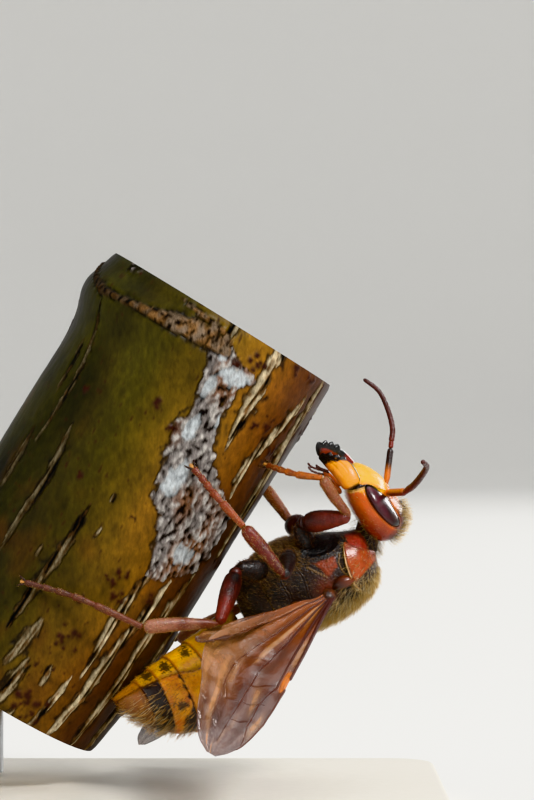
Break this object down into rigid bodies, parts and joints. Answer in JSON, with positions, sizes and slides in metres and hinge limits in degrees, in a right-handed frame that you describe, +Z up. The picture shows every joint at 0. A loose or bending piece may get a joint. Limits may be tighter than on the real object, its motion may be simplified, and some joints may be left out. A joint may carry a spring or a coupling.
{
  "type": "european hornet",
  "caption": "Life-size still model of a queen European hornet holding on under a leaning cut stem, on a flat display base with rods.",
  "frame": {"origin": "middle of the base's underside, on the surface that the model stands on", "axes": "+Z up; the stem leans towards +X and the hornet's head points to +X; its left side faces -Y"},
  "size_m": [0.048, 0.048, 0.0476],
  "materials": {
    "shell_dark": "black-brown cuticle, satin, with short golden hair",
    "shell_red": "orange-red to deep red cuticle, glossy",
    "shell_gold": "golden yellow cuticle with dark brown bands, satin gloss",
    "eye": "purple-brown compound eye with a wet gloss",
    "wing": "clear amber-brown membrane with raised red-brown veins",
    "leg": "dark red to ochre cuticle with fine granules and short hair",
    "antenna": "red-brown, matt, ringed",
    "bark": "olive to orange-brown smooth bark with pale grey cracks and pimples",
    "stand": "pale warm grey, matt",
    "rod": "brushed steel"
  },
  "bodies": {
    "root": {"head": "shell_gold", "eye_left": "eye", "eye_right": "eye", "mandible_left": "shell_gold", "mandible_right": "shell_gold", "antenna_left_scape": "antenna", "antenna_left_flagellum": "antenna", "antenna_left_tip": "antenna", "antenna_right_scape": "antenna", "antenna_right_flagellum": "antenna", "antenna_right_tip": "antenna", "pronotum": "shell_red", "thorax": "shell_dark", "propodeum": "shell_dark", "abdomen_1": "shell_gold", "abdomen_2": "shell_gold", "abdomen_3": "shell_gold", "abdomen_4": "shell_gold", "abdomen_5": "shell_gold", "abdomen_6": "shell_gold", "forewing_left": "wing", "forewing_right": "wing", "hindwing_left": "wing", "hindwing_right": "wing", "leg_fore_left_coxa": "shell_dark", "leg_fore_left_femur": "leg", "leg_fore_left_tibia": "leg", "leg_fore_left_tarsus": "leg", "leg_fore_right_coxa": "shell_dark", "leg_fore_right_femur": "leg", "leg_fore_right_tibia": "leg", "leg_fore_right_tarsus": "leg", "leg_mid_left_coxa": "shell_dark", "leg_mid_left_femur": "leg", "leg_mid_left_tibia": "leg", "leg_mid_left_tarsus": "leg", "leg_mid_right_coxa": "shell_dark", "leg_mid_right_femur": "leg", "leg_mid_right_tibia": "leg", "leg_mid_right_tarsus": "leg", "leg_hind_left_coxa": "shell_dark", "leg_hind_left_femur": "leg", "leg_hind_left_tibia": "leg", "leg_hind_left_tarsus": "leg", "leg_hind_right_coxa": "shell_dark", "leg_hind_right_femur": "leg", "leg_hind_right_tibia": "leg", "leg_hind_right_tarsus": "leg", "perch_stem": "bark", "stand_base": "stand", "stand_rod_left": "rod", "stand_rod_right": "rod"}
  },
  "joints": []
}
